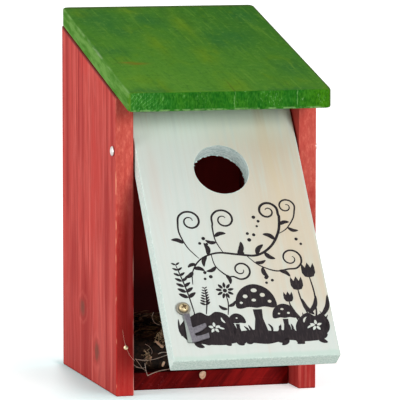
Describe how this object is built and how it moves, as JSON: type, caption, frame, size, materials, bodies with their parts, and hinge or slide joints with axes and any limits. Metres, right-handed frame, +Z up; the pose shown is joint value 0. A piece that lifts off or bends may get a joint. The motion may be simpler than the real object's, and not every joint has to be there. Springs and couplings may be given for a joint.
{
  "type": "bird nest box",
  "caption": "Small wooden nest box with a sloping roof, a round entrance in a swing-out front door, and a slotted hook that latches it.",
  "frame": {"origin": "middle of the box's footprint, on the underside of the floor board", "axes": "+Z up, +Y out of the back board, +X to the right for someone who faces the door; the door opens towards -Y"},
  "size_m": [0.1332, 0.2313, 0.2354],
  "materials": {
    "red_stain": "matte",
    "green_stain": "matte",
    "white_wash": "matte",
    "zinc_steel": "satin",
    "brass_plate": "satin",
    "red_painted_heads": "satin",
    "green_painted_heads": "satin",
    "dry_straw": "matte"
  },
  "bodies": {
    "box": {"left_side_board": "red_stain", "right_side_board": "red_stain", "back_board": "red_stain", "floor_board": "red_stain", "roof_board": "green_stain", "hinge_nail_left": "zinc_steel", "hinge_nail_right": "zinc_steel", "catch_nail": "brass_plate", "nest_straw": "dry_straw", "floor_brad_left_1": "red_painted_heads", "floor_brad_left_2": "red_painted_heads", "back_brad_left_1": "red_painted_heads", "back_brad_left_2": "red_painted_heads", "back_brad_left_3": "red_painted_heads", "floor_brad_right_1": "red_painted_heads", "floor_brad_right_2": "red_painted_heads", "back_brad_right_1": "red_painted_heads", "back_brad_right_2": "red_painted_heads", "back_brad_right_3": "red_painted_heads", "floor_brad_back_left": "red_painted_heads", "floor_brad_back_right": "red_painted_heads", "roof_brad_left_1": "green_painted_heads", "roof_brad_left_2": "green_painted_heads", "roof_brad_left_3": "green_painted_heads", "roof_brad_right_1": "green_painted_heads", "roof_brad_right_2": "green_painted_heads", "roof_brad_right_3": "green_painted_heads", "roof_brad_back_left": "green_painted_heads", "roof_brad_back_right": "green_painted_heads"},
    "door": {"front_door": "white_wash", "latch_screw": "brass_plate"},
    "hook": {"latch_hook": "zinc_steel"}
  },
  "joints": [
    {"name": "door_swing", "type": "hinge", "parent": "box", "child": "door", "pos_m": [0, -0.06475, 0.153], "axis": [-1, 0, 0], "range_deg": [-37, 79]},
    {"name": "hook_turn", "type": "hinge", "parent": "door", "child": "hook", "pos_m": [-0.041, -0.13975, 0.06302], "axis": [0, 0.7986, -0.6018], "range_deg": [-269, 68]}
  ]
}
